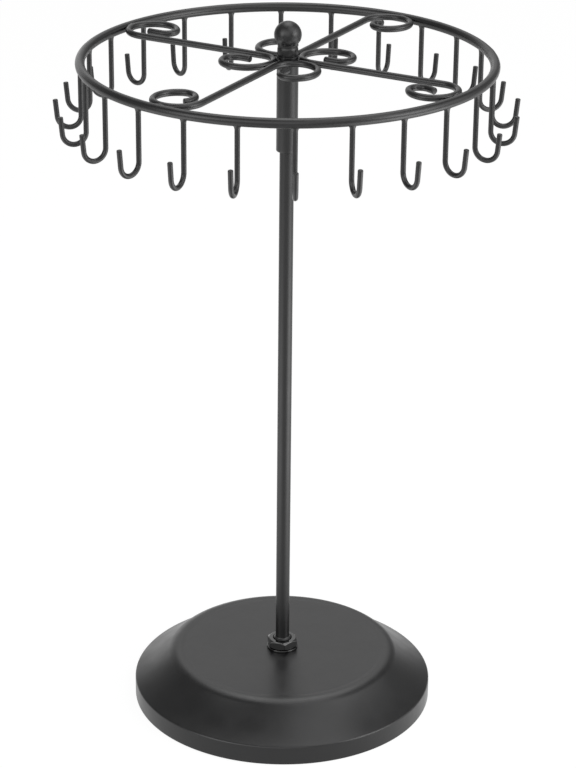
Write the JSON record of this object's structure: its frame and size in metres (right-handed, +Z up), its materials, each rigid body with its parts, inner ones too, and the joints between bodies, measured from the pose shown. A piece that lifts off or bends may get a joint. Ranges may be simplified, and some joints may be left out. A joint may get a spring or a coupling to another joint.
{
  "type": "jewelry stand",
  "caption": "Free-standing black metal jewelry carousel: a ring of J hooks on four scroll wires that turns on a slim post over a weighted round foot.",
  "frame": {"origin": "centre of the round foot, on the ground", "axes": "+Z up along the post; +X to the right and +Y away from the viewer of the picture"},
  "size_m": [0.203, 0.203, 0.3292],
  "materials": {
    "powder_coat": "satin black powder coat",
    "black_hardware": "semi-gloss black plated steel",
    "raw_iron": "as cast",
    "felt": "pressed wool felt",
    "acetal": "turned, natural"
  },
  "bodies": {
    "base": {"base_shell": "powder_coat", "counterweight": "raw_iron", "base_pad": "felt", "post_rod": "powder_coat", "top_washer": "black_hardware", "top_nut": "black_hardware", "lower_washer": "black_hardware", "lower_nut": "black_hardware", "pivot_cap": "acetal"},
    "carousel": {"sleeve_tube": "powder_coat", "finial": "powder_coat", "ring": "powder_coat", "scroll_1": "powder_coat", "scroll_2": "powder_coat", "scroll_3": "powder_coat", "scroll_4": "powder_coat", "hook_01": "powder_coat", "hook_02": "powder_coat", "hook_03": "powder_coat", "hook_04": "powder_coat", "hook_05": "powder_coat", "hook_06": "powder_coat", "hook_07": "powder_coat", "hook_08": "powder_coat", "hook_09": "powder_coat", "hook_10": "powder_coat", "hook_11": "powder_coat", "hook_12": "powder_coat", "hook_13": "powder_coat", "hook_14": "powder_coat", "hook_15": "powder_coat", "hook_16": "powder_coat", "hook_17": "powder_coat", "hook_18": "powder_coat", "hook_19": "powder_coat", "hook_20": "powder_coat", "hook_21": "powder_coat", "hook_22": "powder_coat", "hook_23": "powder_coat", "hook_24": "powder_coat"}
  },
  "joints": [
    {"name": "carousel_spin", "type": "hinge", "parent": "base", "child": "carousel", "pos_m": [0, 0, 0.3115], "axis": [0, 0, 1], "continuous": true}
  ]
}
